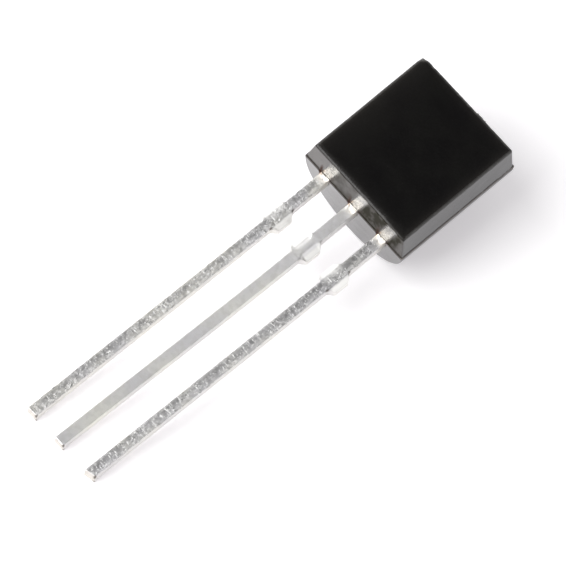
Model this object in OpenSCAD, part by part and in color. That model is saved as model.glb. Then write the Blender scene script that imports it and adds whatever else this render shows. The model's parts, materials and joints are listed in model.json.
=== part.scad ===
// Transistor in a TO-92 package, lying on its round back with the flat face up.
// X runs from the emitter lead to the collector lead and Y from the lead tips to the top end.
// Every piece is drawn in the package frame: the lead end of the body is at y = 0, the front
// faces of the leads and the parting line of the mould are at z = 0, and the flat face is at
// z = front_d. rest() then lays the package down as it comes to rest.

/* [Body] */
// Width across the parting line, which is the diameter of the round back
body_w = 4.34; // [3.9:0.01:5.2]
// Height from the lead end to the top end
body_h = 4.55; // [3.75:0.01:5.5]
// Depth of the front half, from the parting line to the flat face
front_d = 1.17; // [0.9:0.01:1.5]
// Radius of the moulded edges
edge_r = 0.06; // [0.02:0.01:0.12]

/* [Mould lines] */
// Step from the round back to the front half at the lead end
foot_step = 0.04; // [0:0.005:0.15]
// Step from the round back to the front half at the sides and the top end
side_step = 0.03; // [0:0.005:0.1]
// How far each side of the front half leans in by the flat face
side_draft = 0.14; // [0.02:0.005:0.3]
// How far the lead end of the front half leans in by the flat face
foot_draft = 0.08; // [0.01:0.005:0.2]
// How far the top end of the front half leans in by the flat face
top_draft = 0.04; // [0.01:0.005:0.2]
// Width of the stub that the mould gate leaves on the top end
gate_w = 0.36; // [0.2:0.02:0.6]
// Thickness of the gate stub, behind the parting line
gate_t = 0.3; // [0.15:0.01:0.5]
// How far the gate stub stands out of the top end
gate_l = 0.26; // [0.05:0.01:0.3]
// Distance of the gate stub from the middle, towards the collector lead
gate_x = 0.37; // [0:0.01:0.8]

/* [Leads] */
// Spacing of the leads
lead_pitch = 1.27; // [1.05:0.01:1.55]
// Width of a lead
lead_w = 0.37; // [0.3:0.01:0.5]
// Thickness of the lead frame
lead_t = 0.44; // [0.35:0.01:0.55]
// Length of a lead from the lead end of the body to its tip
lead_l = 11.5; // [6:0.1:20]

/* [Ears] */
// Distance from the body to the ears that the trimmed dam bar leaves on the leads
ear_y = 1.42; // [0.8:0.01:2.5]
// Length of an ear where it leaves the lead
ear_l = 0.88; // [0.6:0.01:1.2]
// How far an ear stands out of the side of its lead
ear_w = 0.18; // [0.05:0.01:0.25]

/* [Inside] */
// Width of the bond post on the emitter and base leads
post_w = 0.72; // [0.5:0.01:0.85]
// Height of the bond post
post_h = 0.7; // [0.5:0.01:0.9]
// Distance from the lead end of the body to the bond post
post_y = 0.85; // [0.5:0.01:1]
// Gap between the bond posts and the die paddle
paddle_gap = 0.4; // [0.2:0.01:0.5]
// Height of the die paddle
paddle_h = 1.35; // [0.9:0.01:1.4]
// How far the die paddle reaches past the middle of the base lead
paddle_reach = 0.8; // [0.5:0.01:0.95]
// Width and height of the silicon die
die_w = 0.5; // [0.3:0.01:0.6]
// Thickness of the silicon die
die_t = 0.2; // [0.1:0.01:0.3]
// Thickness of the die attach
attach_t = 0.03; // [0.02:0.005:0.05]
// How far the die attach shows all round the die
attach_rim = 0.03; // [0.01:0.005:0.1]
// Diameter of a bond wire
wire_d = 0.03; // [0.02:0.005:0.05]
// Diameter of the flattened bond at each end of a wire
bond_d = 0.09; // [0.06:0.005:0.12]
// Thickness of the flattened bond
bond_t = 0.02; // [0.01:0.005:0.03]
// Height of a wire's arch over the top of the die
wire_rise = 0.25; // [0.15:0.01:0.35]

/* [Hidden] */
$fn = 48;

// Straight steps in each rounded edge of the moulding
edge_steps = 4;
back_r = body_w / 2;

// Places of the leads, numbered from the emitter lead
emitter_x = -lead_pitch;
base_x = 0;
collector_x = lead_pitch;

// Edge of a lead on its +X side, from the tip to the body, with the flanks of its ear at
// 45 degrees
ear_top = -ear_y;
ear_foot = -ear_y - ear_l;
shank_edge = [
    [lead_w / 2, -lead_l],
    [lead_w / 2, ear_foot],
    [lead_w / 2 + ear_w, ear_foot + ear_w],
    [lead_w / 2 + ear_w, ear_top - ear_w],
    [lead_w / 2, ear_top]
];

// The die sits in the middle of the paddle's height, over the base lead
paddle_y = post_y + post_h + paddle_gap;
die_at = [base_x, paddle_y + paddle_h / 2, attach_t];
die_top = attach_t + die_t;
pad_shift = die_w / 4;
// Rings and sides of a bond wire's skin
wire_steps = 14;
wire_sides = 8;
post_mid = post_y + post_h / 2;
emitter_pad = [die_at.x - pad_shift, die_at.y, die_top];
base_pad = [die_at.x + pad_shift, die_at.y - pad_shift, die_top];
emitter_landing = [emitter_x, post_mid, 0];
base_landing = [base_x, post_mid, 0];

// The package comes to rest on the rounded lead-end edge of its back and on the lead tips.
// foot_c is the centre of that edge's rounding, and rest_tilt brings both down to one level.
foot_c = [edge_r, edge_r - back_r];
drop = [foot_c.x + lead_l, -lead_t - foot_c.y];
rest_tilt = atan2(drop.y, drop.x) + asin(edge_r / norm(drop));
rest_z = lead_l * sin(rest_tilt) + lead_t * cos(rest_tilt);

// Ends of the resting package along Y, which put the origin under its middle
tip_end = -lead_l * cos(rest_tilt);
back_end = (body_h - edge_r) * cos(rest_tilt) - foot_c.y * sin(rest_tilt) + edge_r;
gate_end = (body_h + gate_l) * cos(rest_tilt) + gate_t * sin(rest_tilt);
rest_y = -(tip_end + max(back_end, gate_end)) / 2;

// Lays a piece down from the package frame
module rest() {
    translate([0, rest_y, rest_z])
        rotate([rest_tilt, 0, 0])
            children();
}

// Points that round the corner of an outline, clockwise. The edges of the outline leave the
// corner in the directions from_edge and to_edge, in degrees, with the material between them.
function rounded(corner, from_edge, to_edge) =
    let (
        half = (to_edge - from_edge) / 2,
        middle = (to_edge + from_edge) / 2,
        centre = corner + edge_r / sin(half) * [cos(middle), sin(middle)],
        turn = 180 - 2 * half
    )
    [
        for (i = [0:edge_steps])
            let (angle = from_edge - 90 - turn * i / edge_steps)
            centre + edge_r * [cos(angle), sin(angle)]
    ];

// Section of the front half between two levels at the parting line. Each side leans in by
// its own draft at the level of the flat face, where the corners are rounded.
module drafted_outline(low, low_draft, high, high_draft) {
    low_lean = atan2(low_draft, front_d);
    high_lean = atan2(high_draft, front_d);
    polygon(concat(
        [[low, 0]],
        rounded([low + low_draft, front_d], 270 - low_lean, 360),
        rounded([high - high_draft, front_d], 180, 270 + high_lean),
        [[high, 0]]
    ));
}

// Front half of the body, which carries the flat face
module front_half() {
    reach = back_r - side_step;
    intersection() {
        translate([0, body_h, 0])
            rotate([90, 0, 0])
                linear_extrude(height = body_h)
                    drafted_outline(-reach, side_draft, reach, side_draft);
        translate([-back_r, 0, 0])
            rotate([90, 0, 90])
                linear_extrude(height = body_w)
                    drafted_outline(foot_step, foot_draft, body_h - side_step, top_draft);
    }
}

// Round back half of the body: half a turn of its outline about the middle of the parting
// plane
module back_half() {
    rotate([-90, 0, 0])
        rotate_extrude(angle = 180)
            polygon(concat(
                [[0, 0], [0, body_h]],
                rounded([back_r, body_h], 180, 270),
                rounded([back_r, 0], 90, 180)
            ));
}

// Stub left on the top end where the body was broken off its mould gate
module gate_stub() {
    translate([gate_x - gate_w / 2, body_h - edge_r, -gate_t])
        cube([gate_w, gate_l + edge_r, gate_t]);
}

// Gives an outline the thickness of the lead frame, behind the parting line
module frame_sheet() {
    translate([0, 0, -lead_t])
        linear_extrude(height = lead_t)
            children();
}

// The same edge on the other side of a lead, taken in the opposite order
function mirrored(edge) = [for (i = [len(edge) - 1:-1:0]) [-edge[i].x, edge[i].y]];

// Lead centred on x. Its head is given as the points that each side adds inside the body.
module lead(x, right_head, left_head) {
    left_edge = mirrored(concat(shank_edge, left_head));
    frame_sheet()
        translate([x, 0])
            polygon(concat(shank_edge, right_head, left_edge));
}

// Lead that ends in a bond post
module post_lead(x) {
    post_edge = [
        [lead_w / 2, post_y],
        [post_w / 2, post_y],
        [post_w / 2, post_y + post_h]
    ];
    lead(x, post_edge, post_edge);
}

// Lead that carries the die paddle
module paddle_lead(x) {
    paddle_side = x - base_x + paddle_reach;
    paddle_top = paddle_y + paddle_h;
    lead(
        x,
        [[lead_w / 2, paddle_top]],
        [[lead_w / 2, paddle_y], [paddle_side, paddle_y], [paddle_side, paddle_top]]
    );
}

// Silicon chip on the die attach
module die_block() {
    translate([die_at.x - die_w / 2, die_at.y - die_w / 2, die_at.z])
        cube([die_w, die_w, die_t]);
}

// Thin bed that holds the chip to the paddle
module attach_bed() {
    bed_w = die_w + 2 * attach_rim;
    translate([die_at.x - bed_w / 2, die_at.y - bed_w / 2, 0])
        cube([bed_w, bed_w, attach_t]);
}

// Point and direction at the share t of the curve with the control points a, b, c and d
function curve_point(a, b, c, d, t) =
    a * pow(1 - t, 3) + 3 * b * t * pow(1 - t, 2) + 3 * c * t * t * (1 - t) + d * pow(t, 3);
function curve_way(a, b, c, d, t) =
    (b - a) * pow(1 - t, 2) + 2 * (c - b) * t * (1 - t) + (d - c) * t * t;

// Wire that leaves its pad on the die upright, arches over and comes down upright on its
// landing, with a flattened bond at each end
module arched_wire(pad, landing) {
    flat_run = [landing.x - pad.x, landing.y - pad.y, 0];
    ahead = flat_run / norm(flat_run);
    side = [-ahead.y, ahead.x, 0];
    // A curve with both inner control points at one height peaks at three quarters of it
    crest = pad.z + wire_rise * 4 / 3;
    over_pad = [pad.x, pad.y, crest];
    over_landing = [landing.x, landing.y, crest];
    rings = [
        for (i = [0:wire_steps])
            let (
                t = i / wire_steps,
                middle = curve_point(pad, over_pad, over_landing, landing, t),
                way = curve_way(pad, over_pad, over_landing, landing, t),
                cross_way = cross(side, way) / norm(way)
            )
            for (k = [0:wire_sides - 1])
                let (angle = 360 * k / wire_sides)
                middle + wire_d / 2 * (cos(angle) * side + sin(angle) * cross_way)
    ];
    skin = [
        for (i = [0:wire_steps - 1], k = [0:wire_sides - 1])
            let (
                here = i * wire_sides + k,
                beside = i * wire_sides + (k + 1) % wire_sides
            )
            each [
                [here, beside, beside + wire_sides],
                [here, beside + wire_sides, here + wire_sides]
            ]
    ];
    first_end = [for (k = [wire_sides - 1:-1:0]) k];
    last_end = [for (k = [0:wire_sides - 1]) wire_steps * wire_sides + k];
    polyhedron(points = rings, faces = concat(skin, [first_end, last_end]));
    for (place = [pad, landing])
        translate(place)
            cylinder(d = bond_d, h = bond_t);
}

// Everything that the moulding closes round
module embedded_pieces() {
    post_lead(emitter_x);
    post_lead(base_x);
    paddle_lead(collector_x);
    attach_bed();
    die_block();
    arched_wire(emitter_pad, emitter_landing);
    arched_wire(base_pad, base_landing);
}

module moulded_body() {
    color([0.08, 0.08, 0.08])
        rest()
            difference() {
                union() {
                    front_half();
                    back_half();
                    gate_stub();
                }
                embedded_pieces();
            }
}

module emitter_lead() {
    color([0.68, 0.67, 0.65])
        rest()
            post_lead(emitter_x);
}

module base_lead() {
    color([0.7, 0.69, 0.67])
        rest()
            post_lead(base_x);
}

module collector_lead() {
    color([0.68, 0.67, 0.65])
        rest()
            paddle_lead(collector_x);
}

module silicon_die() {
    color([0.3, 0.32, 0.36])
        rest()
            die_block();
}

module die_attach() {
    color([0.78, 0.76, 0.72])
        rest()
            attach_bed();
}

module emitter_bond_wire() {
    color([0.85, 0.66, 0.25])
        rest()
            arched_wire(emitter_pad, emitter_landing);
}

module base_bond_wire() {
    color([0.85, 0.66, 0.25])
        rest()
            arched_wire(base_pad, base_landing);
}

moulded_body();
emitter_lead();
base_lead();
collector_lead();
silicon_die();
die_attach();
emitter_bond_wire();
base_bond_wire();
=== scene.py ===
"""A TO-92 transistor lying on its round back: the finish of every piece around the CAD frame.

Meshes are made in the package frame, in millimetres: x runs from the emitter lead to the
collector lead, y from the lead tips to the top end of the body, and z out of the flat face.
y = 0 is the lead end of the body, and z = 0 is its parting line and the front of the leads.
settle() turns such points into metres in the shared frame.
"""
import json
import math
from typing import NamedTuple

import bpy
import numpy as np
from mathutils import Matrix, Vector, noise


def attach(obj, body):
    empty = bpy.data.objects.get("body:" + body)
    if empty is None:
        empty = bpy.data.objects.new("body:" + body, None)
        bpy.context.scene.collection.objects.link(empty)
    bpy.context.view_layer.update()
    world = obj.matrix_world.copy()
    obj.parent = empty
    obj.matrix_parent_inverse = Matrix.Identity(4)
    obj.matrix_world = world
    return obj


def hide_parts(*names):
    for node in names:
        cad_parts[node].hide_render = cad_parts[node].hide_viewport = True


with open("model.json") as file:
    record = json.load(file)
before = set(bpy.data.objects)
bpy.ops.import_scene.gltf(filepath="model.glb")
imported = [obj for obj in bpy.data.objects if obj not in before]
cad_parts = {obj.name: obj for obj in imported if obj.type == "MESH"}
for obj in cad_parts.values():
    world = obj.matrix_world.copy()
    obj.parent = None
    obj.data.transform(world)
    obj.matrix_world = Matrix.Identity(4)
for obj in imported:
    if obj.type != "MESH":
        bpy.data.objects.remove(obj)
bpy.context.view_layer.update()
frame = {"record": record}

MM = 0.001
TINY = 1e-9
NO_AREA = 1e-12

# Body, in millimetres. The front half is set in from the round back by the steps, and its
# walls lean by the drafts.
BODY_W = 4.34
BODY_H = 4.55
BACK_R = BODY_W / 2
FRONT_D = 1.17
EDGE_R = 0.06
FOOT_STEP = 0.04
SIDE_STEP = 0.03
SIDE_DRAFT = 0.14
FOOT_DRAFT = 0.08
TOP_DRAFT = 0.04
BACK_DRAFT = 0.055
FLAT_HALF = BACK_R - SIDE_STEP - SIDE_DRAFT
FLAT_LOW = FOOT_STEP + FOOT_DRAFT
FLAT_HIGH = BODY_H - SIDE_STEP - TOP_DRAFT
# The stub of the mould gate on the top end: its middle, width, thickness and length, and
# the widths over which it rises from the end at its sides and its underside
GATE_X = 0.37
GATE_W = 0.36
GATE_T = 0.3
GATE_L = 0.26
GATE_SIDE = 0.02
GATE_UNDER = 0.03
# The flat face is not quite regular: less of it by the emitter side and by the lead end, a
# top end that stands a little out and askew, and a sharper edge at its lead end
LEFT_TRIM = 0.05
FOOT_TRIM = 0.015
END_SHIFT = 0.012
END_SKEW = 0.006
FOOT_R = 0.02
# Along its two sides the ledge at the parting line stands up by LEDGE_DROP at the front
# half and hangs down by it at the round back. LEDGE_SHARES are its rims on the way from
# one to the other, and CLEARANCE is how far it is lowered where a lead comes out.
LEDGE_DROP = 0.012
LEDGE_SHARES = (0.35, 0.7)
CLEARANCE = 0.012
# Steps of the body's mesh, the same down the round back as shares of the way to 45
# degrees (fine, coarse and the band of the fine ones), and the shares that bound the
# underside of the gate stub
BODY_FINE = 0.015
BODY_COARSE = 0.045
BACK_TURNS = (0.01, 0.033, 0.05)
GATE_TURNS = (0.17, 0.18)
# Slant of the band above each lead on the wall, per millimetre of height. It follows the
# slant of the lead's reflection there, which is painted in the band.
MARK_SLANT = 0.21

# Leads, in millimetres. The ears are what is left of the bar that joined them.
LEAD_PITCH = 1.27
LEAD_W = 0.37
LEAD_T = 0.44
LEAD_L = 11.5
LEAD_R = 0.03
EAR_TOP = -1.42
EAR_FOOT = EAR_TOP - 0.88
EAR_W = 0.18
EAR_SLOPE = 0.16
SCRATCH_Y = -2.02
POST_W = 0.72
POST_H = 0.7
POST_Y = 0.85
PADDLE_GAP = 0.4
PADDLE_H = 1.35
PADDLE_REACH = 0.8
POST_TOP = POST_Y + POST_H
PADDLE_Y = POST_TOP + PADDLE_GAP
LEAD_X = (-LEAD_PITCH, 0, LEAD_PITCH)

mounts = {mount["name"]: mount for mount in frame["record"]["mounts"]}
ACROSS = Vector((1, 0, 0))
OUT = Vector(mounts["flat_face"]["axis"])
ALONG = -Vector(mounts["base_lead_end"]["axis"])
LEAD_END = Vector(mounts["base_lead_end"]["pos_m"])
ORIGIN = LEAD_END + (ALONG * LEAD_L + OUT * LEAD_T / 2) * MM
AXES = np.array([ACROSS, ALONG, OUT])

# Noise: how far each seed moves it, how fast its octaves fade and how much finer each is
SEED_STEP = (17.3, 5.9, 11.1)
OCTAVE_FADE = 0.9
OCTAVE_RATIO = 2.0


def settle(points):
    """Package-frame points in millimetres as points of the shared frame in metres."""
    return np.asarray(points) @ AXES * MM + np.array(ORIGIN)


def direction(x, y, z):
    """A direction of the package frame in the shared frame."""
    return (ACROSS * x + ALONG * y + OUT * z).normalized()


def smooth(edge_a, edge_b, value):
    """0 at edge_a, 1 at edge_b and an S-shaped rise between them."""
    t = np.clip((value - edge_a) / (edge_b - edge_a), 0, 1)
    return t * t * (3 - 2 * t)


def near(points, centre, size):
    """1 at the centre, falling to 0 at the given half-sizes along x, y and z."""
    away = np.linalg.norm((points - np.array(centre)) / np.array(size), axis=1)
    return 1 - smooth(0, 1, away)


def wobble(points, size, seed, octaves=3):
    """Smooth noise from about -1 to 1 at each point, with features of the given size."""
    shift = Vector([step * seed for step in SEED_STEP])
    return np.array([
        noise.fractal(Vector(p) / size + shift, OCTAVE_FADE, OCTAVE_RATIO, octaves)
        for p in points
    ])


def spread(low, high, fine, coarse, band):
    """Places from low to high, with fine steps within a band at both ends."""
    edge = np.linspace(0, band, max(2, round(band / fine) + 1))
    count = max(2, round((high - low - 2 * band) / coarse) + 1)
    middle = np.linspace(low + band, high - band, count)
    return np.concatenate([low + edge[:-1], middle, high - edge[-2::-1]])


def point_normals(points, faces):
    """Outward unit normals of a closed mesh of quads."""
    quads = np.asarray(faces)
    one = points[quads[:, 2]] - points[quads[:, 0]]
    two = points[quads[:, 3]] - points[quads[:, 1]]
    normal = np.cross(one, two)
    total = np.zeros_like(points)
    for corner in range(4):
        np.add.at(total, quads[:, corner], normal)
    return total / np.maximum(np.linalg.norm(total, axis=1), NO_AREA)[:, None]


def new_piece(name, points, faces, marks):
    """A smooth-shaded object from package-frame points. Its marks become point attributes,
    and so does the place of each point, which the materials use for their patterns."""
    mesh = bpy.data.meshes.new(name)
    mesh.from_pydata(settle(points).tolist(), [], faces)
    mesh.shade_smooth()
    place = mesh.attributes.new("place", "FLOAT_VECTOR", "POINT")
    place.data.foreach_set("vector", np.asarray(points, np.float32).ravel())
    for mark, values in marks.items():
        layer = mesh.attributes.new(mark, "FLOAT", "POINT")
        layer.data.foreach_set("value", np.asarray(values, np.float32))
    obj = bpy.data.objects.new(name, mesh)
    bpy.context.scene.collection.objects.link(obj)
    return obj


def rim_order(nu, nv):
    """Indices (i, j) once round the rim of a grid, starting at its low corner."""
    ring = [(i, 0) for i in range(nu - 1)]
    ring += [(nu - 1, j) for j in range(nv - 1)]
    ring += [(i, nv - 1) for i in range(nu - 1, 0, -1)]
    ring += [(0, j) for j in range(nv - 1, 0, -1)]
    return ring


def round_corners(points, low, high, radius):
    """Rounds the edges of a box-shaped skin, given the box's corners less the radius, and
    returns which points are on an edge."""
    core = np.clip(points, low, high)
    reach = points - core
    edge = (np.abs(reach) > TINY).sum(axis=1) > 1
    length = np.maximum(np.linalg.norm(reach, axis=1), TINY)
    points[edge] = (core + reach * (radius / length)[:, None])[edge]
    return edge


# ------------------------------------------------------------------------------- body

FRONT, LEDGE, BACK = 0, 1, 2


class Skin:
    """Points of the body's skin, on a grid that wraps it from the flat face to the bottom of
    the round back. Each add method makes one point and returns its index."""

    def __init__(self, across, along):
        self.across = across
        self.along = along
        self.points = []
        self.part = []

    def add(self, x, y, z, part):
        self.points.append((x, y, z))
        self.part.append(part)
        return len(self.points) - 1

    def at_side(self, i):
        return abs(self.across[i]) == 1

    def add_front(self, i, j, z):
        if z < TINY:
            z = LEDGE_DROP * self.at_side(i)
        y = FLAT_LOW + self.along[j] * (FLAT_HIGH - FLAT_LOW)
        return self.add(self.across[i] * FLAT_HALF, y, z, FRONT)

    def add_ledge(self, i, j, share):
        """share goes from 0 at the front half to 1 at the round back."""
        half = BACK_R - SIDE_STEP * (1 - share)
        low = FOOT_STEP * (1 - share)
        high = BODY_H - SIDE_STEP * (1 - share)
        z = LEDGE_DROP * (1 - 2 * share) if self.at_side(i) else 0
        return self.add(self.across[i] * half, low + self.along[j] * (high - low), z, LEDGE)

    def add_back(self, i, j, turn):
        """turn goes from 0 at the parting line to 1, halfway down at 45 degrees."""
        angle = turn * math.pi / 4
        bulge = BACK_R * (math.sqrt(1 - self.across[i] ** 2 / 2) - math.sqrt(0.5))
        z = -BACK_R * math.sin(angle) - turn * bulge
        if turn == 0 and self.at_side(i):
            z = -LEDGE_DROP
        x = self.across[i] * BACK_R * math.cos(angle)
        return self.add(x, self.along[j] * BODY_H, z, BACK)

    def add_bottom(self, i, j):
        x = self.across[i] * BACK_R * math.sqrt(0.5)
        return self.add(x, self.along[j] * BODY_H, -math.sqrt(BACK_R ** 2 - x * x), BACK)


def body_skin():
    """Sharp skin of the body: rims stacked between a grid on the flat face and one on the
    bottom of the round back. shape_front() leans the walls of the front half."""
    across = spread(-1, 1, BODY_FINE / BACK_R, BODY_COARSE / BACK_R, EDGE_R / BACK_R)
    gate_sides = [GATE_X + way * (GATE_W / 2 + blend)
                  for way in (-1, 1) for blend in (0, GATE_SIDE)]
    across = np.unique(np.concatenate([across, np.array(gate_sides) / BACK_R]))
    along = spread(0, 1, BODY_FINE / BODY_H, BODY_COARSE / BODY_H, EDGE_R / BODY_H)
    ring = rim_order(len(across), len(along))
    grid = [(i, j) for i in range(len(across)) for j in range(len(along))]
    skin = Skin(across, along)

    top = {ij: skin.add_front(*ij, FRONT_D) for ij in grid}
    rims = [[top[ij] for ij in ring]]
    for z in FRONT_D - spread(0, FRONT_D, BODY_FINE, BODY_COARSE, EDGE_R)[1:]:
        rims.append([skin.add_front(i, j, z) for i, j in ring])
    for share in LEDGE_SHARES:
        rims.append([skin.add_ledge(i, j, share) for i, j in ring])
    for turn in np.unique(np.append(spread(0, 1, *BACK_TURNS), GATE_TURNS)):
        rims.append([skin.add_back(i, j, turn) for i, j in ring])
    bottom = dict(zip(ring, rims[-1]))
    for ij in grid:
        if ij not in bottom:
            bottom[ij] = skin.add_bottom(*ij)

    faces = []
    for i in range(len(across) - 1):
        for j in range(len(along) - 1):
            quad = ((i, j), (i + 1, j), (i + 1, j + 1), (i, j + 1))
            faces.append(tuple(top[ij] for ij in quad))
            faces.append(tuple(bottom[ij] for ij in (quad[0], *quad[:0:-1])))
    for upper, lower in zip(rims, rims[1:]):
        for k in range(len(ring)):
            n = (k + 1) % len(ring)
            faces.append((upper[k], lower[k], lower[n], upper[n]))
    return np.array(skin.points), faces, np.array(skin.part)


def shape_front(points, part):
    """Rounds the front half, leans its walls out and returns which points are on edges."""
    front = part == FRONT
    p = points[front]
    low = np.array([-FLAT_HALF + EDGE_R, FLAT_LOW + EDGE_R, -BACK_R])
    high = np.array([FLAT_HALF - EDGE_R, FLAT_HIGH - EDGE_R, FRONT_D - EDGE_R])
    edge = np.zeros(len(points))
    edge[front] = round_corners(p, low, high, EDGE_R)
    lean = 1 - p[:, 2] / FRONT_D
    share = (p[:, 1] - FLAT_LOW) / (FLAT_HIGH - FLAT_LOW)
    trim = LEFT_TRIM * (p[:, 0] < 0) * (1 - lean)
    p[:, 0] *= 1 + (lean * SIDE_DRAFT - trim) / FLAT_HALF
    p[:, 1] += lean * (share * TOP_DRAFT - (1 - share) * FOOT_DRAFT)
    top_end = END_SHIFT + END_SKEW * p[:, 0]
    p[:, 1] += (1 - lean) * (share * top_end + (1 - share) * FOOT_TRIM)
    by_foot = share < 0.1
    foot = p[:, 1] - FLAT_LOW + lean * FOOT_DRAFT - (1 - lean) * FOOT_TRIM
    p[:, 1] -= np.where(foot < EDGE_R, foot * (1 - FOOT_R / EDGE_R), 0) * by_foot
    points[front] = p
    return edge


def shape_back(points, part):
    """Rounds the end edges of the round back and leans its ends in towards its bottom."""
    back = part == BACK
    p = points[back]
    radius = np.maximum(np.hypot(p[:, 0], p[:, 2]), TINY)
    flat = np.stack([radius, p[:, 1], np.zeros(len(p))], 1)
    round_corners(flat, (0, EDGE_R, 0), (BACK_R - EDGE_R, BODY_H - EDGE_R, 0), EDGE_R)
    p[:, [0, 2]] *= (flat[:, 0] / radius)[:, None]
    p[:, 1] = flat[:, 1] - p[:, 2] / BACK_R * BACK_DRAFT * (1 - 2 * flat[:, 1] / BODY_H)
    points[back] = p


def break_gate(points, part):
    """Pulls out the stub of the mould gate, with a rough broken end, and returns the share
    of it that each point has."""
    x, y, z = points.T
    on_end = (y > BODY_H - 0.05) * (part == BACK)
    inside = smooth(GATE_W / 2 + GATE_SIDE, GATE_W / 2, np.abs(x - GATE_X))
    inside = inside * smooth(-GATE_T - GATE_UNDER, -GATE_T, z) * on_end
    stub = np.flatnonzero(inside > 0)
    rough = 1.07 + 0.12 * wobble(points[stub], 0.09, 4)
    points[stub, 1] += inside[stub] * GATE_L * np.clip(rough, 0.8, 1.2)
    return inside


def soften_flat(points, part):
    """Lets the flat face fall away towards its lead end, most by the collector corner."""
    x, y, z = points.T
    depth = 0.018
    width = 0.2 + 0.3 * smooth(1.1, FLAT_HALF, x)
    fall = 1 - smooth(0, 1, (y - FLAT_LOW - FOOT_TRIM) / width)
    points[:, 2] -= (part == FRONT) * smooth(0.6, FRONT_D, z) * fall * depth


def clear_leads(points):
    """Lowers the ledge where each lead comes out, so that the lead's front is seen over it."""
    x, y, z = points.T
    on_ledge = (np.abs(z) < 0.02) * (y < 0.1)
    for lead_x in LEAD_X:
        over = smooth(LEAD_W / 2 + 0.03, LEAD_W / 2, np.abs(x - lead_x))
        points[:, 2] -= over * on_ledge * CLEARANCE


# Places where the mould left flash beside a lead: side of the lead, which way, width, reach
FLASH = (
    (-LEAD_PITCH - LEAD_W / 2, -1, 0.12, 0.03),
    (-LEAD_PITCH + LEAD_W / 2, 1, 0.08, 0.012),
    (-LEAD_W / 2, -1, 0.12, 0.02),
    (LEAD_W / 2, 1, 0.06, 0.012),
    (LEAD_PITCH - LEAD_W / 2, -1, 0.12, 0.02),
    (LEAD_PITCH + LEAD_W / 2, 1, 0.06, 0.012),
)
FLASH_Z = 0.01
FLASH_T = 0.04
STAIN_REACH = 0.035
STAIN_GAIN = 1.6


def raise_flash(points):
    """Thin webs of flash at the parting line, each running up to the side of a lead, and
    the brown stain that each leaves on the body around it."""
    x, y, z = points.T
    stain = np.zeros(len(points))
    for side, way, width, reach in FLASH:
        away = (x - side) * way
        web = np.clip(1 - away / width, 0, 1) * (away > -LEAD_W / 2) * (y < 0.3)
        points[:, 1] -= web * reach * np.exp(-((z - FLASH_Z) / FLASH_T) ** 2)
        around = near(points, (side + way * 0.03, 0.05, 0.1), (width * 0.75, 0.2, 0.6))
        stain = np.maximum(stain, around * reach / STAIN_REACH * STAIN_GAIN)
    return np.clip(stain, 0, 1)


def wear_corner(points):
    """Wears the far corner of the flat on the emitter side, and returns where it is worn."""
    corner = np.array((LEFT_TRIM - FLAT_HALF, FLAT_HIGH, FRONT_D))
    reach = 0.34
    inwards = np.array((0.1, -0.1, -0.03))
    away = np.linalg.norm(points - corner, axis=1)
    points += np.clip(1 - away / reach, 0, 1)[:, None] ** 3 * inwards
    return near(points, corner + np.array((0.08, -0.08, 0)), (0.14, 0.14, 0.14))


def nick_edges(points, normals, worn):
    """Small nicks along the side and top edges of the flat, added to the worn places."""
    rng = np.random.default_rng(7)
    for _ in range(70):
        side = rng.integers(3)
        run = rng.uniform(-1, 1)
        x = (LEFT_TRIM - FLAT_HALF, FLAT_HALF, run * FLAT_HALF)[side]
        y = FLAT_LOW + (run + 1) / 2 * (FLAT_HIGH - FLAT_LOW)
        y = (y, y, FLAT_HIGH + END_SKEW * x)[side]
        size = rng.uniform(0.03, 0.07)
        nick = near(points, (x, y, FRONT_D - rng.uniform(0, 0.02)), (size, size, size))
        points -= normals * (nick * size * 0.3)[:, None]
        worn = np.maximum(worn, nick)
    return worn


# Chips out of the parting line on the collector side: place along the body, and size
CHIPS = ((3.3, 0.05), (4.02, 0.09), (4.2, 0.06), (4.36, 0.07), (2.4, 0.04))


def chip_parting_line(points, normals, worn):
    for y, size in CHIPS:
        chip = near(points, (BACK_R, y, -0.02), (size, size * 1.5, size))
        points -= normals * (chip * size * 0.4)[:, None]
        worn = np.maximum(worn, chip)
    return worn


def wall_marks(points, lead_end):
    """Marks on the lead-end wall of the front half: the wall apart from a band above each
    lead, slanted along the lead's reflection, and a ragged pale painted reflection of the lead
    in each band."""
    x, _, z = points.T
    wall = lead_end.copy()
    smear = np.zeros(len(points))
    ragged = 0.05 * wobble(points, 0.12, 5)
    for lead_x in LEAD_X:
        off = np.abs(x - lead_x - MARK_SLANT * z)
        wall *= smooth(LEAD_W / 2, LEAD_W / 2 + 0.05, off)
        band = smooth(LEAD_W / 2 + 0.02, LEAD_W / 2 - 0.1, off + ragged)
        smear = np.maximum(smear, band)
    fade = 1 - 0.35 * smooth(0.3, FRONT_D, z)
    return wall, smear * (lead_end * smooth(0.0, 0.1, z) * fade)


def rim_sheen_mark(points, normals, part):
    """How near each point of the flat face is to its edges, most at the emitter side, for the
    sheen painted there in place of the reflection in their rounding.
    """
    x, y, _ = points.T
    left = x + FLAT_HALF - LEFT_TRIM
    edges = ((left, 1.0, 0.11), (FLAT_HALF - x, 0.6, 0.11),
             (y - FLAT_LOW - FOOT_TRIM, 0.65, 0.11), (FLAT_HIGH - y, 0.4, 0.11),
             (left, 0.3, 0.4))
    rim = np.zeros(len(points))
    for depth, share, width in edges:
        rim = np.maximum(rim, share * np.exp(-np.maximum(depth, 0) / width))
    return rim * (part == FRONT) * (normals[:, 2] > 0.3)


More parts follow.
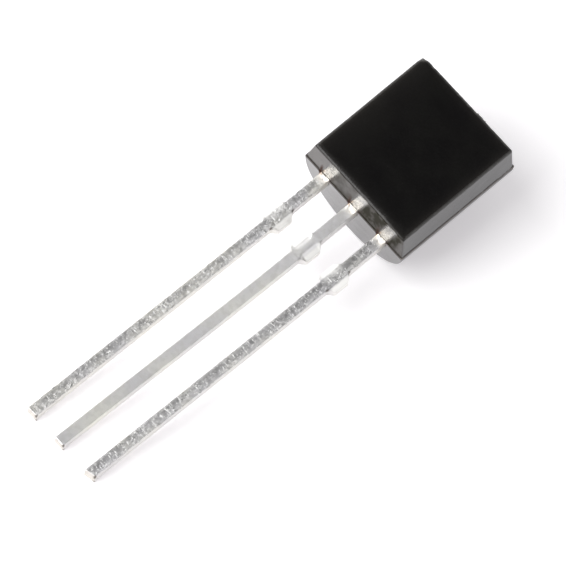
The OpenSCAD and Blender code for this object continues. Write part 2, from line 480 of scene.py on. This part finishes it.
def build_body():
    points, faces, part = body_skin()
    edge = shape_front(points, part)
    shape_back(points, part)
    broken = break_gate(points, part)
    soften_flat(points, part)
    clear_leads(points)
    stain = raise_flash(points)
    normals = point_normals(points, faces)
    worn = wear_corner(points)
    worn = nick_edges(points, normals, worn)
    worn = chip_parting_line(points, normals, worn)
    points += normals * (0.0022 * wobble(points, 0.5, 2))[:, None]
    points[:, 0] = np.clip(points[:, 0], -BACK_R, BACK_R)
    _, y, z = points.T
    faces_leads = normals[:, 1] < -0.7
    lead_end = faces_leads * (part == FRONT) * np.ones(len(points))
    wall, smear = wall_marks(points, lead_end)
    # The rounded lead-end edge of the flat, where a sheen is painted and the gloss turned down
    foot = (part == FRONT) * smooth(FLAT_LOW + 0.12, FLAT_LOW + 0.06, y)
    return new_piece("package_body", points, faces, {
        "edge": edge * (z > FRONT_D - 2 * EDGE_R) * (y > FLAT_LOW + 0.12),
        "worn": worn,
        "stain": stain,
        "wall": wall,
        "smear": smear,
        "ledge": part == LEDGE,
        "foot": foot * smooth(0.25, 0.6, normals[:, 2]),
        "rim": rim_sheen_mark(points, normals, part),
        "end": (part == BACK) & faces_leads,
        "broken": broken > 0.9,
    })


# ------------------------------------------------------------------------------ leads

# Steps of a lead's mesh: the fine one at its edges, and those along, across and through it.
# HEAD_STATIONS is how many sections its head has.
LEAD_FINE = 0.01
LEAD_ALONG = 0.028
LEAD_ACROSS = 0.018
LEAD_THROUGH = 0.045
HEAD_STATIONS = 42


class Lead(NamedTuple):
    """What sets one lead apart. Lengths are in millimetres."""
    name: str
    x: float             # where it is across the package
    head_top: float      # how far its head reaches into the body
    head_right: tuple    # where the head's right side starts, and its half-width there
    head_left: tuple
    bend: float          # how far its tip drifts towards the emitter side
    cut: tuple           # what is cut back: the whole tip, its front edge, its right side
    slant: float         # how far into the front face the slope of an ear reaches
    pits: int            # dents in its tin plate, or 0 for a smooth lead
    tone: tuple          # painted brightness of its front by the body and at the tip
    painted_gleam: float         # painted highlight: how much brighter it is beside the tip
    seed: int


class Sections(NamedTuple):
    """A lead's skin: its points, and for each of them the head's or ear's half-widths on
    either side, the ear's share of its full width, and whether it is at the tip."""
    points: np.ndarray
    right: np.ndarray
    left: np.ndarray
    ear: np.ndarray
    cut: np.ndarray


def lead_skin(lead):
    """Box-shaped skin of a lead, as sections from the cut tip to its head in the body."""
    half = LEAD_W / 2
    stations = np.concatenate([
        spread(-LEAD_L, 0, LEAD_FINE, LEAD_ALONG, LEAD_R),
        np.linspace(0, lead.head_top, HEAD_STATIONS)[1:],
    ])
    ear = np.clip(np.minimum(stations - EAR_FOOT, EAR_TOP - stations) / EAR_W, 0, 1)
    right, left = [
        np.where(stations > start, width, half + ear * EAR_W)
        for start, width in (lead.head_right, lead.head_left)
    ]
    side = spread(-1, 1, LEAD_FINE / half, LEAD_ACROSS / half, LEAD_R / half)
    depth = spread(-LEAD_T, 0, LEAD_FINE, LEAD_THROUGH, LEAD_R)
    ring = rim_order(len(side), len(depth))
    last = len(stations) - 1
    index, rows = {}, []

    def add(s, i, j):
        if (s, i, j) not in index:
            index[s, i, j] = len(rows)
            rows.append((side[i] * (right[s] if side[i] > 0 else left[s]),
                         stations[s], depth[j], right[s], left[s], ear[s]))
        return index[s, i, j]

    faces = []
    for s in range(last):
        for k, (i, j) in enumerate(ring):
            m, n = ring[(k + 1) % len(ring)]
            faces.append((add(s, i, j), add(s, m, n), add(s + 1, m, n), add(s + 1, i, j)))
    for i in range(len(side) - 1):
        for j in range(len(depth) - 1):
            quad = ((i, j), (i, j + 1), (i + 1, j + 1), (i + 1, j))
            faces.append(tuple(add(0, *ij) for ij in quad))
            faces.append(tuple(add(last, *ij) for ij in quad[::-1]))
    rows = np.array(rows)
    points = rows[:, :3].copy()
    cut = rows[:, 1] < stations[0] + 0.012
    return Sections(points, rows[:, 3], rows[:, 4], rows[:, 5], cut), faces


def round_lead(skin, head_top):
    """Rounds all edges of a lead and returns which points are on an edge."""
    ones = np.ones(len(skin.points))
    low = np.stack([LEAD_R - skin.left, ones * (LEAD_R - LEAD_L), ones * (LEAD_R - LEAD_T)], 1)
    high = np.stack([skin.right - LEAD_R, ones * (head_top - LEAD_R), ones * -LEAD_R], 1)
    return round_corners(skin.points, low, high, LEAD_R)


def slope_ears(points, ear, slant):
    """Slopes the ears down from the front face, where the shears closed on the bar."""
    half = LEAD_W / 2
    front = 1 + points[:, 2] / LEAD_T
    outer = smooth(half - slant * ear, half + EAR_W, np.abs(points[:, 0]))
    points[:, 2] -= front * ear * outer * EAR_SLOPE


def shape_tip(points, cut):
    """Shears the tip's front edge back and pulls its last fibres to one side. Returns the
    shade painted along its edges at the burr, and the hook at one corner of it."""
    half = LEAD_W / 2
    tip = smooth(-LEAD_L + 0.3, -LEAD_L, points[:, 1])
    short, sheared, skewed = cut
    points[:, 1] += tip * (short + sheared * (1 + points[:, 2] / LEAD_T)
                           + skewed * (1 + points[:, 0] / half) / 2)
    tip_y = -LEAD_L + short + skewed
    burr = 1.6 * near(points, (half, tip_y + sheared, -0.08), (0.09, 0.09, 0.18))
    hook = 1.6 * near(points, (half, tip_y, -LEAD_T), (0.09, 0.08, 0.14))
    points[:, 0] += hook * 0.02
    return burr, hook


def shade_ear_corners(points, burr, pitted):
    """Adds painted shade in the corners where the right ear meets the lead to the burr's
    painted shade, and on a pitted lead a dark spot below its scratch."""
    half = LEAD_W / 2
    for corner in (EAR_FOOT, EAR_TOP):
        corner_shade = near(points, (half, corner, -0.02), (0.07, 0.09, 0.12))
        burr = np.maximum(burr, corner_shade * (1.2 if pitted else 0.4))
    spot = near(points, (0.12, SCRATCH_Y - 0.11, 0), (0.1, 0.06, 0.1))
    return np.maximum(burr, spot * (0.4 if pitted else 0))


def press(points, ear):
    """Where the shears pressed the plate smooth, beside the left ear."""
    pressed = ear * smooth(0.5, -0.75, points[:, 0] / (LEAD_W / 2))
    return pressed * (0.6 + 0.4 * smooth(EAR_FOOT, EAR_TOP - 0.2, points[:, 1]))


def dent_plate(points, normals, pits, seed):
    """Dents and a slight ripple in the plate outside the body."""
    half = LEAD_W / 2
    rng = np.random.default_rng(seed)
    dents = np.zeros(len(points))
    for _ in range(pits):
        place = (rng.uniform(-half, half), rng.uniform(-LEAD_L, -0.5), 0)
        size = rng.uniform(0.025, 0.06)
        dent = near(points, place, (size, size * 1.5, size))
        dents = np.maximum(dents, dent * size * 0.16)
    outside = points[:, 1] < -0.02
    ripple = 0.003 if pits else 0.0012
    points -= normals * (outside * dents)[:, None]
    points += normals * (outside * ripple * wobble(points, 0.35, seed))[:, None]


def raise_fillet(points, seed):
    """Raises the plate of the front in an uneven fillet towards the body."""
    climb = np.clip(points[:, 1] + 0.3, 0, 0.34) ** 2 * (points[:, 1] < 0.2)
    uneven = 1 + 0.3 * wobble(points * (climb > 0)[:, None], 0.12, seed)
    points[:, 2] += climb * smooth(-0.15, 0, points[:, 2]) * 0.3 * uneven


def build_lead(lead):
    half = LEAD_W / 2
    skin, faces = lead_skin(lead)
    points, ear = skin.points, skin.ear
    edge = round_lead(skin, lead.head_top)
    slope_ears(points, ear, lead.slant)
    burr, hook = shape_tip(points, lead.cut)
    burr = shade_ear_corners(points, burr, lead.pits > 0)
    pressed = press(points, ear)
    normals = point_normals(points, faces)
    dent_plate(points, normals, lead.pits, lead.seed)
    rust = near(points, (-half, -0.02, 0), (0.12, 0.08, 0.15))
    side = points[:, 0].copy()
    points[:, 0] += lead.x - lead.bend * smooth(-1.5, -LEAD_L - 3, points[:, 1])
    points[:, 2] = np.minimum(points[:, 2], 0)
    raise_fillet(points, lead.seed)
    # Painted light: the front's brightness runs from the body to the tip, with a painted
    # highlight beside the tip
    at_body, at_tip = lead.tone
    tone = at_body + (at_tip - at_body) * smooth(-1, -LEAD_L, points[:, 1])
    painted_gleam = lead.painted_gleam * near(points, (lead.x, -LEAD_L + 0.45, 0), (0.3, 0.3, 0.2))
    return new_piece(lead.name, points, faces, {
        "edge": edge * (1 - ear * np.where(side < 0, 1, 0.5)),
        "pressed": pressed,
        "ear": ear * smooth(half, half + 0.03, np.abs(side)),
        "cut": skin.cut,
        "burr": np.clip(np.maximum(burr, hook), 0, 1),
        "rust": rust,
        "faint": ear * (side < -half),
        "side": side / half,
        "tone": tone + painted_gleam,
    })


# -------------------------------------------------------------------------- materials

def add_node(tree, kind, inputs, output=0, **settings):
    """Adds a shader node with its settings and its inputs, which are values or the outputs
    of other nodes, and returns one of its own outputs."""
    made = tree.nodes.new("ShaderNode" + kind)
    for name, value in settings.items():
        setattr(made, name, value)
    for key, value in inputs.items():
        if isinstance(value, bpy.types.NodeSocket):
            tree.links.new(value, made.inputs[key])
        else:
            made.inputs[key].default_value = value
    return made.outputs[output] if made.outputs else None


def colour(value):
    """A red, green and blue triple with its alpha. The output of a node stays as it is."""
    return value if isinstance(value, bpy.types.NodeSocket) else (*value, 1)


class Finish:
    """A material under construction, with short ways to add the nodes of its patterns."""

    def __init__(self, name, metallic=0.0, ior=1.5):
        self.material = bpy.data.materials.new(name)
        self.material.use_nodes = True
        self.tree = self.material.node_tree
        self.shader = self.tree.nodes["Principled BSDF"]
        self.shader.inputs["Metallic"].default_value = metallic
        self.shader.inputs["IOR"].default_value = ior
        self.place = None

    def node(self, kind, inputs, output=0, **settings):
        return add_node(self.tree, kind, inputs, output, **settings)

    def mark(self, name):
        """A point attribute stored with the mesh."""
        return self.node("Attribute", {}, 2, attribute_name=name)

    def use_marked_place(self):
        self.place = self.node("Attribute", {}, 1, attribute_name="place")

    def use_object_place(self):
        spot = self.node("TexCoord", {}, 3)
        self.place = self.node("VectorMath", {0: spot, "Scale": 1 / MM}, operation="SCALE")

    def axis(self, index):
        return self.node("SeparateXYZ", {0: self.place}, index)

    def math(self, operation, a, b):
        return self.node("Math", {0: a, 1: b}, operation=operation)

    def add(self, first, *rest):
        return self.math("ADD", first, self.add(*rest)) if rest else first

    def less(self, a, b):
        return self.math("SUBTRACT", a, b)

    def times(self, a, b):
        return self.math("MULTIPLY", a, b)

    def greater(self, a, b):
        return self.math("MAXIMUM", a, b)

    def rise(self, value, low, high, start=0.0, end=1.0):
        """start below low, end above high, and a smooth rise between."""
        return self.node("MapRange", {
            "Value": value, "From Min": low, "From Max": high, "To Min": start, "To Max": end,
        }, interpolation_type="SMOOTHSTEP")

    def fall(self, value, low, high):
        return self.rise(value, low, high, 1.0, 0.0)

    def grain(self, per_mm, detail=3.0, stretch=(1, 1, 1), seed=0.0):
        """Noise with the given number of features per millimetre."""
        spot = self.node("Mapping", {0: self.place, "Location": (seed, seed, seed),
                                     "Scale": stretch})
        return self.node("TexNoise", {"Vector": spot, "Scale": per_mm, "Detail": detail})

    def blend(self, share, a, b):
        """Colour a at share 0 and colour b at share 1."""
        return self.node("MixRGB", {0: share, 1: colour(a), 2: colour(b)}, blend_type="MIX")

    def set(self, name, value):
        socket = self.shader.inputs[name]
        if isinstance(value, bpy.types.NodeSocket):
            self.tree.links.new(value, socket)
        else:
            socket.default_value = value

    def bump(self, height, depth_mm):
        self.set("Normal", self.node("Bump", {"Height": height, "Distance": depth_mm * MM,
                                              "Strength": 1.0}))


BLACK = (0.0026, 0.0022, 0.0023)
BLACK_PALER = (0.0044, 0.0041, 0.0037)
# Painted sheen along the flat's edges
PAINTED_RIM_SHEEN = (0.042, 0.038, 0.034)
WALL = (0.026, 0.018, 0.012)
DIRT = (0.022, 0.020, 0.012)
WORN = (0.068, 0.063, 0.056)
PAINTED_FOOT_SHEEN = (0.024, 0.022, 0.020)
SPECK = (0.16, 0.155, 0.14)
LEDGE_BROWN = (0.050, 0.040, 0.035)
LEDGE_PALE = (0.22, 0.19, 0.17)
# Painted reflection on the round back's lead end
PAINTED_END_REFLECTION = (0.075, 0.069, 0.070)
STAIN = (0.060, 0.030, 0.022)
BROKEN = (0.045, 0.026, 0.018)
# Painted reflection of the leads on the lead-end wall
PAINTED_REFLECTION_TONE = (0.42, 0.385, 0.33)


def epoxy():
    """Black moulding compound: fine sand in the gloss, brown flash, soiled lead-end wall, and
    painted sheen on the flat's edges and painted reflections on the lead ends.
    """
    f = Finish("epoxy", ior=1.6)
    f.use_marked_place()
    broad = f.grain(1.1, 2, seed=3.1)
    patch = f.grain(4.2, 4, stretch=(1, 1, 0.6), seed=1.7)
    sand = f.grain(26, 3)
    across = f.axis(0)
    # Dirt on the wall behind the leads: none by the emitter, most beyond the base lead
    reach = f.add(f.rise(across, -1.3, -1.0, 0.0, 0.56), f.rise(across, 0.1, 0.3, 0.0, 0.4))
    corner = f.less(across, f.times(f.axis(2), 0.25))
    uneven = f.times(f.rise(patch, 0.34, 0.62, 0.62, 1.1), f.rise(corner, 1.6, 1.9, 1.0, 0.2))
    dirt = f.times(f.times(f.mark("wall"), reach), uneven)
    stain = f.times(f.mark("stain"), f.rise(patch, 0.25, 0.55, 0.5, 1.0))
    worn = f.times(f.mark("worn"), f.rise(sand, 0.35, 0.6, 0.3, 1.0))
    dots = f.rise(f.grain(17, 2, seed=9.0), 0.67, 0.72)
    speck = f.times(f.rise(f.mark("rim"), 0.3, 0.8), dots)
    ledge = f.mark("ledge")
    ledge_tone = f.blend(f.rise(across, BACK_R - 0.1, BACK_R - 0.04), LEDGE_BROWN, LEDGE_PALE)
    blotch = f.rise(f.grain(7, 3, seed=6.2), 0.36, 0.64, 0.15, 0.75)

    shade = f.blend(f.rise(broad, 0.3, 0.7), BLACK, BLACK_PALER)
    # Painted sheen: paler towards the flat's edges, in place of the reflection in their
    # rounding
    shade = f.blend(f.mark("rim"), shade, PAINTED_RIM_SHEEN)
    shade = f.blend(f.mark("wall"), shade, WALL)
    shade = f.blend(dirt, shade, DIRT)
    shade = f.blend(worn, shade, WORN)
    # Painted sheen on the rounded lead-end edge of the flat, whose gloss is turned down below
    shade = f.blend(f.mark("foot"), shade, PAINTED_FOOT_SHEEN)
    shade = f.blend(speck, shade, SPECK)
    shade = f.blend(ledge, shade, ledge_tone)
    # Painted reflection: grey on the round back's lead end, for the floor it mirrors
    shade = f.blend(f.mark("end"), shade, PAINTED_END_REFLECTION)
    shade = f.blend(stain, shade, STAIN)
    shade = f.blend(f.mark("broken"), shade, BROKEN)
    # Painted reflection of each lead, pale and blotchy, in its band on the lead-end wall
    shade = f.blend(f.times(f.mark("smear"), blotch), shade, PAINTED_REFLECTION_TONE)
    f.set("Base Color", shade)
    f.set("Roughness", f.add(
        f.rise(sand, 0.2, 0.8, 0.17, 0.23), f.times(f.mark("edge"), 0.2),
        f.times(f.mark("end"), -0.08), f.times(dirt, 0.3), f.times(worn, 0.25),
        f.times(ledge, 0.3), f.times(stain, 0.3)))
    # Dirt and the lead-end edge of the flat take the sheen off, and the end wall has more
    sheen = f.rise(f.greater(dirt, stain), 0.0, 1.0, 0.55, 0.04)
    sheen = f.less(sheen, f.times(f.mark("foot"), 0.4))
    f.set("Specular IOR Level", f.add(sheen, f.times(f.mark("end"), 0.45)))
    f.bump(f.add(f.times(sand, 0.5), patch), 0.0016)
    return f.material


TIN_COOL = (0.75, 0.74, 0.75)
TIN_WARM = (0.85, 0.84, 0.79)
TIN_MOTTLE = (0.55, 0.54, 0.50)
PLATE_COOL = (0.71, 0.70, 0.715)
PLATE_WARM = (0.79, 0.775, 0.73)
PAINTED_STREAK_SHADE = (0.36, 0.355, 0.36)
PIT = (0.37, 0.37, 0.365)
GLINT = (1.0, 1.0, 0.98)
PRESSED = (1.0, 0.99, 0.97)
ROOT = (0.86, 0.82, 0.76)
EAR = (0.90, 0.89, 0.87)
EAR_PAINTED_WHITE = (1.0, 0.995, 0.98)
TIN_EDGE_SHADE = (0.34, 0.31, 0.28)
CUT = (0.67, 0.645, 0.61)
SHADE_AND_SOIL = (0.10, 0.085, 0.07)
RUST = (0.50, 0.30, 0.17)
TIN_TINT = (0.93, 0.91, 0.89)


def plate_with_painted_streak(f, broad):
    """Colour of a pitted lead's front, with a soft dark streak painted along its left half in
    place of a dark reflection.
    """
    plate = f.blend(f.rise(broad, 0.35, 0.65), PLATE_COOL, PLATE_WARM)
    side = f.mark("side")
    painted_streak = f.times(f.rise(side, -1.0, -0.4), f.fall(side, -0.25, 0.6))
    painted_streak = f.times(painted_streak, f.rise(f.grain(1.3, 2, seed=4.9), 0.3, 0.6, 0.2, 0.75))
    return f.blend(painted_streak, plate, PAINTED_STREAK_SHADE)


def scratches(f, along):
    """One scratch across the ear zone, and short nicks across the rest of the lead."""
    side = f.mark("side")
    band = f.times(f.rise(along, SCRATCH_Y - 0.03, SCRATCH_Y - 0.015),
                   f.fall(along, SCRATCH_Y + 0.005, SCRATCH_Y + 0.02))
    scratch = f.times(band, f.times(f.rise(side, -0.85, -0.65), f.fall(side, 0.3, 0.5)))
    nicks = f.rise(f.grain(4.5, 2, stretch=(0.7, 4.5, 0.7), seed=5.3), 0.63, 0.69)
    nicks = f.times(nicks, f.fall(along, EAR_FOOT - 0.2, EAR_FOOT))
    return f.greater(scratch, nicks)


def tin(name, pitted):
    """Dull tin plate on the leads. The pitted leads also have a painted dark streak, pits,
    glints and scratches on their front. Some marks are matte, since bright metal would hide
    them."""
    f = Finish(name, metallic=1.0)
    f.use_marked_place()
    along = f.axis(1)
    depth = f.axis(2)
    broad = f.grain(0.7, 3, seed=2.0)
    fine = f.grain(34, 3, seed=5.0)
    lines = f.grain(3.0, 3, stretch=(1, 7, 1), seed=8.0)
    pits = f.grain(15, 4, stretch=(1.3, 0.55, 1), seed=4.4)
    front = f.rise(depth, -0.05, -0.01)
    # The root is the clean part of the front beside the body, with a ragged border
    ragged = f.add(along, f.times(f.less(f.grain(9, 3, seed=7.7), 0.5), 0.25))
    root = f.times(f.rise(ragged, -0.3, -0.1), f.rise(depth, -0.3, -0.12))
    off_root = f.less(1.0, root)

    shade = f.blend(f.rise(broad, 0.3, 0.7), TIN_COOL, TIN_WARM)
    mottle = f.rise(f.grain(6, 3, seed=3.3), 0.45, 0.62, 0.0, 0.2)
    shade = f.blend(mottle, shade, TIN_MOTTLE)
    if pitted:
        cluster = f.rise(f.grain(2.6, 3, stretch=(2.2, 1, 1), seed=1.4), 0.42, 0.6, 0.15, 1.2)
        shade = f.blend(front, shade, plate_with_painted_streak(f, broad))
        speck = f.times(f.rise(pits, 0.48, 0.66), f.times(front, cluster))
        shade = f.blend(f.times(speck, off_root), shade, PIT)
        glint = f.times(f.rise(f.grain(19, 3, seed=6.6), 0.59, 0.65), front)
        shade = f.blend(f.times(glint, off_root), shade, GLINT)
    # Painted brightness along each lead's front
    shade = f.node("MixRGB", {0: front, 1: shade, 2: f.mark("tone")}, blend_type="MULTIPLY")
    pressed = f.times(f.mark("pressed"), f.rise(pits, 0.45, 0.65, 0.95, 0.35))
    pressed = f.times(pressed, front)
    shade = f.blend(pressed, shade, PRESSED)
    matte = f.greater(f.times(f.mark("faint"), 0.9), f.times(pressed, 0.4))
    if pitted:
        cuts = f.times(scratches(f, along), f.times(front, off_root))
        shade = f.blend(cuts, shade, GLINT)
        matte = f.greater(matte, f.times(cuts, 0.8))
    f.set("Metallic", f.less(1.0, matte))
    shade = f.blend(root, shade, ROOT)
    # The upper ears are painted a matte white in place of their bright reflection
    shade = f.blend(f.mark("ear"), shade, f.blend(f.mark("faint"), EAR, EAR_PAINTED_WHITE))
    # Painted shade: a dark outline along the lead's edges, darkest at the back, broken into
    # ticks
    ticks = f.rise(f.grain(4, 2, stretch=(1, 1, 0.2), seed=6.1), 0.42, 0.62, 0.45, 1.5)
    rim = f.times(f.times(f.mark("edge"), f.rise(depth, -0.3, -0.1, 0.6, 0.15)), ticks)
    shade = f.blend(f.math("MINIMUM", rim, 1.0), shade, TIN_EDGE_SHADE)
    shade = f.blend(f.mark("cut"), shade, CUT)
    # Painted shade at the tip's burr and in the ear corners, with a dark spot below the
    # scratch
    shade = f.blend(f.times(f.mark("burr"), 0.9), shade, SHADE_AND_SOIL)
    shade = f.blend(f.times(f.mark("rust"), 0.8), shade, RUST)
    f.set("Base Color", shade)
    f.set("Specular Tint", colour(TIN_TINT))
    dull = (0.36, 0.48) if pitted else (0.40, 0.44)
    f.set("Roughness", f.add(f.rise(f.grain(9, 3), 0.3, 0.7, *dull), f.times(root, -0.06)))
    height = f.add(f.times(fine, 0.25), f.times(lines, 0.5))
    if pitted:
        height = f.less(height, f.times(f.rise(pits, 0.45, 0.7), 0.6))
        height = f.times(height, cluster)
    f.bump(f.times(height, off_root), 0.008)
    return f.material


def buried(name, dark, light, metallic, rough):
    """Finish of the small pieces inside the body, with a fine grain of its own."""
    f = Finish(name, metallic=metallic)
    f.use_object_place()
    grain = f.grain(30, 3)
    f.set("Base Color", f.blend(grain, dark, light))
    f.set("Roughness", f.rise(grain, 0.3, 0.7, rough - 0.05, rough + 0.08))
    f.bump(grain, 0.002)
    return f.material


# ----------------------------------------------------------------------------- pieces

# Sides of a lead's head: where each starts, and its half-width from there
NARROW = (POST_Y, LEAD_W / 2)
POST = (POST_Y, POST_W / 2)
PADDLE = (PADDLE_Y, LEAD_PITCH + PADDLE_REACH)
LEADS = (
    Lead("lead_emitter", x=-LEAD_PITCH, head_top=POST_TOP, head_right=POST, head_left=POST,
         bend=0.15, cut=(0.05, 0.01, 0.01), slant=0.0, pits=200, tone=(1.1, 0.96),
         painted_gleam=0.2, seed=1),
    Lead("lead_base", x=0.0, head_top=POST_TOP, head_right=POST, head_left=POST,
         bend=0.22, cut=(0.055, 0.0, 0.01), slant=0.1, pits=0, tone=(1.12, 0.93),
         painted_gleam=0.0, seed=2),
    Lead("lead_collector", x=LEAD_PITCH, head_top=PADDLE_Y + PADDLE_H, head_right=NARROW,
         head_left=PADDLE, bend=0.15, cut=(0.035, 0.04, 0.08), slant=0.0, pits=200,
         tone=(0.99, 1.0), painted_gleam=0.0, seed=3),
)

body = build_body()
leads = [build_lead(lead) for lead in LEADS]
body.data.materials.append(epoxy())
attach(body, "root")
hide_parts("moulded_body")
pitted_tin = tin("tin_pitted", True)
smooth_tin = tin("tin_smooth", False)
for piece, node, finish in zip(leads, ("emitter_lead", "base_lead", "collector_lead"),
                               (pitted_tin, smooth_tin, pitted_tin)):
    piece.data.materials.append(finish)
    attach(piece, "root")
    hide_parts(node)

# Finishes of the pieces inside: name, darkest and lightest colour, metallic, roughness
BOND_WIRE = ("bond_wire", (0.88, 0.60, 0.24), (0.95, 0.68, 0.30), 1.0, 0.25)
INSIDE = {
    "silicon_die": ("silicon", (0.09, 0.10, 0.12), (0.16, 0.17, 0.20), 0.6, 0.2),
    "die_attach": ("die_attach", (0.45, 0.44, 0.42), (0.62, 0.61, 0.58), 0.8, 0.5),
    "emitter_bond_wire": BOND_WIRE,
    "base_bond_wire": BOND_WIRE,
}
for node, look in INSIDE.items():
    for slot in bpy.data.objects[node].material_slots:
        slot.material = buried(*look)

# ------------------------------------------------------------------- floor and lights

# Camera: directions of its right, up and back, the point it aims at, and how wide its
# picture is there
VIEW_SIDE = (0.6612, 0.7480, 0.0561)
VIEW_BACK = (0.198, -0.246, 0.949)
VIEW_AIM = (0.224, -2.913, -0.804)
VIEW_DISTANCE = 300.0
VIEW_W = 16.845
SENSOR_W = 36
# Key lamp: direction towards it, distance, diameter and level
KEY_TOWARDS = (-0.408, -0.450, 0.795)
KEY_DISTANCE = 400
KEY_SIZE = 363
KEY_LEVEL = 0.89
# World: its level of light, and the dark overhead that the flat face mirrors to the
# camera, with its direction, its level, and the cosines at its rim and at its core
WHITE = (1, 1, 1, 1)
AMBIENT = 0.33
OVERHEAD = (-0.198, 0.246, 0.949)
OVERHEAD_LEVEL = 0.04
OVERHEAD_RIM = 0.72
OVERHEAD_CORE = 0.95
# Floor: half its size in metres, its colour, and how it is lifted to white
FLOOR_HALF = 0.4
FLOOR_CARD = (0.95, 0.95, 0.95, 1)
FLOOR_LIFT = 0.4
FLOOR_LIFT_TINT = (1, 0.96, 1, 1)


def build_camera():
    back = direction(*VIEW_BACK)
    side = direction(*VIEW_SIDE)
    side = (side - back * side.dot(back)).normalized()
    up = back.cross(side)
    data = bpy.data.cameras.new("camera")
    data.sensor_width = SENSOR_W
    data.lens = data.sensor_width * VIEW_DISTANCE / VIEW_W
    data.clip_start = 0.02
    data.clip_end = 5
    camera = bpy.data.objects.new("camera", data)
    bpy.context.scene.collection.objects.link(camera)
    camera.matrix_world = Matrix((side, up, back)).transposed().to_4x4()
    camera.location = Vector(settle(VIEW_AIM)) + back * VIEW_DISTANCE * MM
    bpy.context.scene.camera = camera


def build_lamp(name, towards, distance, size, level):
    """Disc lamp that lights a plain white surface facing it by the given share of white."""
    data = bpy.data.lights.new(name, "AREA")
    data.shape = "DISK"
    data.size = size * MM
    data.energy = level * math.pi ** 2 * (distance ** 2 + (size / 2) ** 2) * MM ** 2
    lamp = bpy.data.objects.new(name, data)
    bpy.context.scene.collection.objects.link(lamp)
    back = direction(*towards)
    lamp.rotation_euler = back.to_track_quat("Z", "Y").to_euler()
    lamp.location = Vector(settle((0, 0, 0))) + back * distance * MM


def build_world():
    """White to the camera, white with a dark overhead to glossy rays, and a plain level of
    light to the rest."""
    world = bpy.data.worlds.new("studio")
    bpy.context.scene.world = world
    world.use_nodes = True
    tree = world.node_tree
    tree.nodes.clear()
    where = add_node(tree, "TexCoord", {}, "Generated")
    overhead = add_node(tree, "VectorMath", {0: where, 1: direction(*OVERHEAD)}, "Value",
                        operation="DOT_PRODUCT")
    level = add_node(tree, "MapRange", {
        "Value": overhead, "From Min": OVERHEAD_RIM, "From Max": OVERHEAD_CORE,
        "To Min": 1.0, "To Max": OVERHEAD_LEVEL,
    }, interpolation_type="SMOOTHSTEP")
    mirrored = add_node(tree, "Background", {"Color": WHITE, "Strength": level})
    light = add_node(tree, "Background", {"Color": WHITE, "Strength": AMBIENT})
    seen = add_node(tree, "Background", {"Color": WHITE, "Strength": 1.0})
    is_glossy = add_node(tree, "LightPath", {}, "Is Glossy Ray")
    is_camera = add_node(tree, "LightPath", {}, "Is Camera Ray")
    sky = add_node(tree, "MixShader", {0: is_glossy, 1: light, 2: mirrored})
    sky = add_node(tree, "MixShader", {0: is_camera, 1: sky, 2: seen})
    add_node(tree, "OutputWorld", {0: sky})


def build_floor():
    """A white card that keeps the shadow. It is lifted to white for camera and glossy rays
    only, so that it sends no more light back to the part."""
    corners = [(-FLOOR_HALF, -FLOOR_HALF, 0), (FLOOR_HALF, -FLOOR_HALF, 0),
               (FLOOR_HALF, FLOOR_HALF, 0), (-FLOOR_HALF, FLOOR_HALF, 0)]
    mesh = bpy.data.meshes.new("floor")
    mesh.from_pydata(corners, [], [(0, 1, 2, 3)])
    floor = bpy.data.objects.new("floor", mesh)
    bpy.context.scene.collection.objects.link(floor)
    material = bpy.data.materials.new("floor")
    material.use_nodes = True
    tree = material.node_tree
    tree.nodes.clear()
    is_camera = add_node(tree, "LightPath", {}, "Is Camera Ray")
    is_glossy = add_node(tree, "LightPath", {}, "Is Glossy Ray")
    either = add_node(tree, "Math", {0: is_camera, 1: is_glossy}, operation="MAXIMUM")
    share = add_node(tree, "Math", {0: either, 1: FLOOR_LIFT}, operation="MULTIPLY")
    card = add_node(tree, "BsdfDiffuse", {"Color": FLOOR_CARD})
    lift = add_node(tree, "Emission", {"Color": FLOOR_LIFT_TINT, "Strength": share})
    add_node(tree, "OutputMaterial", {0: add_node(tree, "AddShader", {0: card, 1: lift})})
    mesh.materials.append(material)


build_camera()
build_world()
build_floor()
build_lamp("key", KEY_TOWARDS, KEY_DISTANCE, KEY_SIZE, KEY_LEVEL)
bpy.context.scene.view_settings.view_transform = "Standard"
